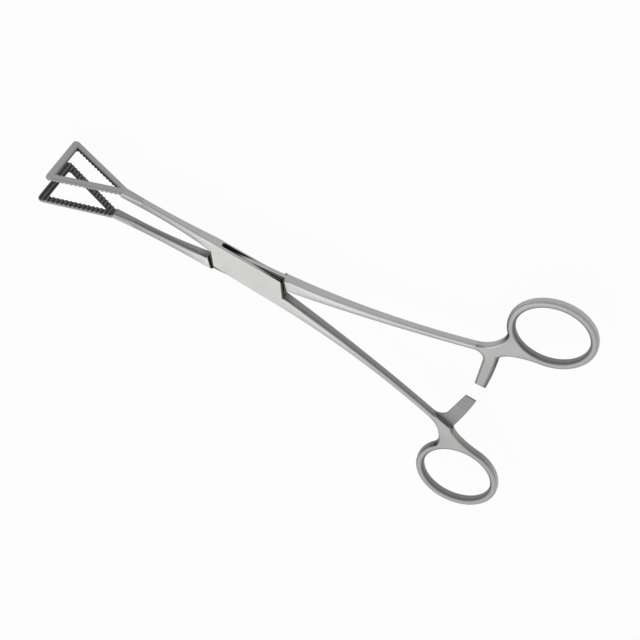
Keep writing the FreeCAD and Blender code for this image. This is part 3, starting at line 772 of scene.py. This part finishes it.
def box_side(x):
    """Half the box's width at x. It narrows evenly from the arms to the shanks."""
    s = sizes()
    at_arms, at_shanks = s.arm_offset + s.arm_width / 2, s.shank_offset + s.shank_width / 2
    return at_arms + (at_shanks - at_arms) * (x + s.box_end) / (2 * s.box_end)


def own_steel(male, kind):
    """Name of a steel that one half has to itself."""
    return half_name(male).replace("_", " ") + " " + kind + " steel"


def lock_joint_shade(x, y):
    """Painted shade along both slanted joints. A joint leans from the inner corner at the box's end to its
    outer side, and the distance to it is taken along X."""
    s = sizes()
    inner_at_shanks = s.shank_offset - s.shank_width / 2
    inner_at_arms = s.arm_offset - s.arm_width / 2
    lean = s.cheek_slant / (box_side(s.box_end - s.cheek_slant) + inner_at_shanks)
    off_shanks = (x + (y + inner_at_shanks) * lean - s.box_end).math("ABSOLUTE")
    on_shanks = y.ramp(-inner_at_shanks - 0.5 * MM, -inner_at_shanks)
    lean_arms = s.cheek_slant / (box_side(s.cheek_slant - s.box_end) + inner_at_arms)
    off_arms = (x + (y - inner_at_arms) * lean_arms + s.box_end).math("ABSOLUTE")
    on_arms = 1 - y.ramp(inner_at_arms + 0.3 * MM, inner_at_arms + 0.8 * MM)
    at_shanks = (1 - off_shanks.ramp(0.5 * MM, 0.9 * MM)) * on_shanks
    at_arms = (1 - off_arms.ramp(0.6 * MM, 1.05 * MM)) * on_arms
    return at_shanks + at_arms


def lock_slot_shade(recipe, level):
    """Painted shade inside the box's sides and between the cheeks, and along the seams where the tongue
    meets the cheeks."""
    s = sizes()
    place = closed_place(recipe, False)
    x, y = recipe.split(place, 0), recipe.split(place, 1)
    side = (x + s.box_end) * ((box_side(s.box_end) - box_side(-s.box_end)) / (2 * s.box_end))
    inwards = side + box_side(-s.box_end) - y.math("ABSOLUTE")
    in_slot = inwards.ramp(0.2 * MM, 0.9 * MM) * (1 - level.ramp(s.slot_half, s.slot_half + 0.1 * MM))
    seam = (1 - (level - s.slot_half).math("ABSOLUTE").ramp(0.12 * MM, 0.3 * MM)) * 0.9
    return (in_slot + seam) * (1 - x.math("ABSOLUTE").ramp(SLOT_DARK_END, SLOT_LIGHT_START))


def lock_material(male):
    """Ground steel, with painted shade along the slanted joints of the box lock and in its slot. The
    joints lie on the cheeks, not on the tongue between them."""
    s = sizes()
    recipe = new_recipe(own_steel(male, "lock"))
    colour, rough, height = steel_finish(recipe, (0, 0, 0), 0.8)
    place = closed_place(recipe, male)
    level = (recipe.split(place, 2) - PIVOT_Z).math("ABSOLUTE")
    on_cheeks = level.ramp(s.slot_half - 0.2 * MM, s.slot_half)
    joints = lock_joint_shade(recipe.split(place, 0), recipe.split(place, 1)) * on_cheeks
    # Painted shade along the joints and in the slot
    lock_shade = (joints + lock_slot_shade(recipe, level)).clamp() * 0.92
    shaded = recipe.mix(lock_shade, colour, rgba(look().shade_colour))
    shade_steel(recipe, shaded, (rough + lock_shade * 0.2).clamp(), height)


def jaw_place(recipe, male):
    """The point in the jaw's own plane: along it from the tip, the depth under the crests, and the
    distance aside of the jaw's middle."""
    s = sizes()
    flip = -1 if male else 1
    tip = posed(np.array([[s.jaw_tip, -s.jaw_gap / 2, 0.0]]), male)[0]
    moved = recipe.node("ShaderNodeVectorMath", {"operation": "SUBTRACT"},
                        {0: recipe.place(), 1: tuple(tip)})
    own = recipe.node("ShaderNodeVectorRotate", {"rotation_type": "EULER_XYZ"},
                      {"Vector": moved, "Rotation": (0, 0, flip * (s.opening / 2 - s.jaw_tilt))})
    return recipe.split(own, 0), recipe.split(own, 1) * -flip, recipe.split(own, 2).math("ABSOLUTE")


def serrated_material(male):
    """Steel of the jaws. The serrated face is dull and painted dark as shade, darker with the depth under
    the crests. The walls of the window are rougher, and painted shade lies on them, in a band beside them,
    inside the heel and a little on the outer rim, which is darker than the back."""
    s = sizes()
    recipe = new_recipe(own_steel(male, "serrated"))
    colour, rough, height = steel_finish(recipe, (0, 0, 0), 0.3)
    along, under, aside = jaw_place(recipe, male)
    slope = (s.jaw_width - s.jaw_heel) / 2 / s.jaw_length
    apex = s.jaw_bar / math.sin(math.atan(slope)) - s.jaw_width / 2 / slope
    to_side = ((along - apex) * slope - aside) * math.cos(math.atan(slope))
    to_tip = -s.jaw_bar - along
    to_window = to_side.math("MINIMUM", to_tip)
    window = to_window.ramp(-0.14 * MM, -0.02 * MM)
    shade_by_window = to_window.ramp(-1.2 * MM, 0.0) * 0.35
    ahead = along.ramp(-s.jaw_length - 0.3 * MM, -s.jaw_length + 0.1 * MM)
    to_rim = ((along + s.jaw_length) * slope + s.jaw_heel / 2 - aside) * math.cos(math.atan(slope))
    off_rim = to_rim.math("MINIMUM", along * -1)
    within = off_rim.ramp(0.01 * MM, 0.12 * MM)
    rim = (1 - off_rim.ramp(0.1 * MM, 0.35 * MM)) * ahead
    face = (1 - under.ramp(s.jaw_depth * 1.05, s.jaw_depth * 1.6)) * ahead * within
    depth = under.ramp(0.0, s.jaw_depth)
    # Painted shade over the serrated face, from the crests' colour to the shade colour at the bottom of the
    # grooves
    dull_and_shade = recipe.mix(depth, rgba(look().shaded_crest), rgba(look().shade_colour))
    # Painted shade inside the heel
    heel_shade = (1 - ahead) * (1 - under.ramp(-0.3 * MM, 0.3 * MM))
    back = recipe.mix((heel_shade * 0.5 + ahead * 0.1 + 0.4).clamp(), colour, rgba(look().steel, 0.5))
    # Painted shade on the window's walls, in a band beside them and on the outer rim
    walls = recipe.mix((window * 0.6 + shade_by_window + rim * 0.2).clamp(), back, rgba(look().shade_colour))
    shown = recipe.mix(face, walls, dull_and_shade)
    shade_steel(recipe, shown, (rough + (face + window).clamp() * 0.15).clamp(), height)


def shown_rays(recipe):
    """1 for rays that show the background: from the camera, and weaker in the steel."""
    camera, glossy, through = (recipe.node("ShaderNodeLightPath", {}, {}, "Is " + kind + " Ray")
                               for kind in ("Camera", "Glossy", "Transmission"))
    return (camera + through + glossy * look().reflected).clamp()


def floor_material():
    """Pale floor, shown nearly white, with the object's shadow kept faintly."""
    recipe = new_recipe("pale floor")
    plain = recipe.node("ShaderNodeBsdfDiffuse", {}, {"Color": rgba(look().floor)})
    white = recipe.node("ShaderNodeEmission", {}, {"Color": (1, 1, 1, 1), "Strength": 1.0})
    share = shown_rays(recipe) * FLOOR_WHITE
    surface = recipe.node("ShaderNodeMixShader", {}, {0: share, 1: plain, 2: white})
    recipe.node("ShaderNodeOutputMaterial", {}, {"Surface": surface})
    return bpy.data.materials["pale floor"]


def make_world():
    """A room lit by one broad soft light, high and beyond the object. Its strength falls off
    smoothly with the angle from the light's middle, and rays that show the background see white."""
    world = bpy.data.worlds.new("soft studio")
    bpy.context.scene.world = world
    world.use_nodes = True
    recipe = Recipe(world.node_tree)
    way = recipe.node("ShaderNodeTexCoord", {}, {}, 0)
    light = Vector((0, 0.6, 0.8))
    facing = recipe.split(way, 0) * light.x + recipe.split(way, 1) * light.y + recipe.split(way, 2) * light.z
    tone = facing.ramp(0.1, 0.85) * 0.9 + 0.1
    share = shown_rays(recipe)
    strength = tone + share * (1 - tone)
    room = recipe.node("ShaderNodeBackground", {}, {"Color": (1, 1, 1, 1), "Strength": strength})
    recipe.node("ShaderNodeOutputWorld", {}, {"Surface": room})


def make_camera():
    """The photograph's view: from above and behind the male half's side, rolled over."""
    right = Vector((-0.88358, -0.36728, -0.29051))
    down = Vector((-0.46796, 0.66960, 0.57676))
    ahead = Vector((-0.01731, 0.64556, -0.76351))
    place = Vector((-0.021134, -0.382819, 0.460488))
    focal_pixels = 1625.17
    photo_width = 640
    data = bpy.data.cameras.new("photo view")
    data.sensor_width = 36.0
    data.lens = focal_pixels * data.sensor_width / photo_width
    data.clip_start = 0.01
    camera = bpy.data.objects.new("photo view", data)
    turn = Matrix((right, -down, -ahead)).transposed().to_4x4()
    camera.matrix_world = Matrix.Translation(place) @ turn
    bpy.context.scene.collection.objects.link(camera)
    bpy.context.scene.camera = camera


def make_lamp(name, place, aim, size, power):
    """A square soft lamp aimed at a point."""
    data = bpy.data.lights.new(name, "AREA")
    data.size = size
    data.energy = power
    lamp = bpy.data.objects.new(name, data)
    turn = (Vector(aim) - Vector(place)).to_track_quat("-Z", "Y")
    lamp.matrix_world = Matrix.Translation(place) @ turn.to_matrix().to_4x4()
    bpy.context.scene.collection.objects.link(lamp)


class ForcepsOperator:
    """What the operators share."""

    bl_options = {"REGISTER", "UNDO"}


class FORCEPS_OT_materials(ForcepsOperator, bpy.types.Operator):
    """Mixes the steels"""

    bl_idname = "forceps.materials"
    bl_label = "Materials"

    def execute(self, context):
        steel_material("satin steel")
        steel_material("pin steel", grain_turn=(0, 0, math.radians(70)), brush=0.9)
        for male in HALVES:
            lock_material(male)
            serrated_material(male)
        return {"FINISHED"}


class FORCEPS_OT_shanks(ForcepsOperator, bpy.types.Operator):
    """Makes both shanks"""

    bl_idname = "forceps.shanks"
    bl_label = "Shanks"

    def execute(self, context):
        for male in HALVES:
            make_shank(male)
        return {"FINISHED"}


class FORCEPS_OT_arms(ForcepsOperator, bpy.types.Operator):
    """Makes both bowed arms"""

    bl_idname = "forceps.arms"
    bl_label = "Arms"

    def execute(self, context):
        for male in HALVES:
            make_arm(male)
        return {"FINISHED"}


class FORCEPS_OT_rings(ForcepsOperator, bpy.types.Operator):
    """Makes both finger rings with their roots"""

    bl_idname = "forceps.rings"
    bl_label = "Finger rings"

    def execute(self, context):
        for male in HALVES:
            make_ring(male)
        return {"FINISHED"}


class FORCEPS_OT_ratchets(ForcepsOperator, bpy.types.Operator):
    """Makes both ratchet bars"""

    bl_idname = "forceps.ratchets"
    bl_label = "Ratchet bars"

    def execute(self, context):
        for male in HALVES:
            make_ratchet(male)
        return {"FINISHED"}


class FORCEPS_OT_lock(ForcepsOperator, bpy.types.Operator):
    """Breaks the edges of the box lock and gives the pin its steel"""

    bl_idname = "forceps.lock"
    bl_label = "Box lock"

    def execute(self, context):
        s = sizes()
        steels = bpy.data.materials
        ends = (-s.box_end, s.box_end)
        make_broken_edges("box_half_box", False, steels["box half lock steel"], s.edge_break, ends)
        make_broken_edges("male_half_tongue", True, steels["male half lock steel"], s.edge_break, ends)
        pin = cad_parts["pivot_pin"].data
        pin.materials.clear()
        pin.materials.append(bpy.data.materials["pin steel"])
        return {"FINISHED"}


class FORCEPS_OT_jaws(ForcepsOperator, bpy.types.Operator):
    """Gives the serrated jaws their steel"""

    bl_idname = "forceps.jaws"
    bl_label = "Jaws"

    def execute(self, context):
        s = sizes()
        for male in HALVES:
            steel = bpy.data.materials[own_steel(male, "serrated")]
            make_broken_edges(half_name(male) + "_jaw", male, steel, s.jaw_break, (s.shank_end,))
        return {"FINISHED"}


class FORCEPS_OT_stage(ForcepsOperator, bpy.types.Operator):
    """Sets the floor, the room, the lamps and the camera"""

    bl_idname = "forceps.stage"
    bl_label = "Stage"

    def execute(self, context):
        context.scene.view_settings.view_transform = "Standard"
        level = CAD_LOW.z - 0.2 * MM
        reach = 3.0
        mesh = bpy.data.meshes.new("floor")
        mesh.from_pydata([(-reach, -reach, level), (reach, -reach, level), (reach, reach, level),
                          (-reach, reach, level)], [], [(0, 1, 2, 3)])
        floor = bpy.data.objects.new("floor", mesh)
        context.scene.collection.objects.link(floor)
        floor.data.materials.append(floor_material())
        make_world()
        make_lamp("overhead softbox", place=(0.1, 0.25, 0.9), aim=(0, 0, 0), size=0.7, power=1.2)
        make_camera()
        return {"FINISHED"}


class FORCEPS_PT_panel(bpy.types.Panel):
    """Lists the pieces and their sizes"""

    bl_label = "Gallbladder forceps"
    bl_idname = "FORCEPS_PT_panel"
    bl_space_type = "VIEW_3D"
    bl_region_type = "UI"
    bl_category = "Forceps"

    def draw(self, context):
        column = self.layout.column(align=True)
        for operator in OPERATORS:
            column.operator(operator.bl_idname)
        for group in (context.scene.forceps_sizes, context.scene.forceps_look):
            box = self.layout.box()
            for name in group.bl_rna.properties.keys():
                if name not in ("name", "rna_type"):
                    box.prop(group, name)


OPERATORS = (FORCEPS_OT_materials, FORCEPS_OT_shanks, FORCEPS_OT_arms, FORCEPS_OT_rings,
             FORCEPS_OT_ratchets, FORCEPS_OT_lock, FORCEPS_OT_jaws, FORCEPS_OT_stage)
CLASSES = (ForcepsSizes, ForcepsLook, *OPERATORS, FORCEPS_PT_panel)


def register():
    for item in CLASSES:
        bpy.utils.register_class(item)
    bpy.types.Scene.forceps_sizes = PointerProperty(type=ForcepsSizes)
    bpy.types.Scene.forceps_look = PointerProperty(type=ForcepsLook)


def unregister():
    del bpy.types.Scene.forceps_look
    del bpy.types.Scene.forceps_sizes
    for item in reversed(CLASSES):
        bpy.utils.unregister_class(item)


def main():
    """Registers the add-on and makes every piece."""
    register()
    bpy.ops.forceps.materials()
    bpy.ops.forceps.shanks()
    bpy.ops.forceps.arms()
    bpy.ops.forceps.rings()
    bpy.ops.forceps.ratchets()
    bpy.ops.forceps.lock()
    bpy.ops.forceps.jaws()
    bpy.ops.forceps.stage()


if __name__ == "__main__":
    main()
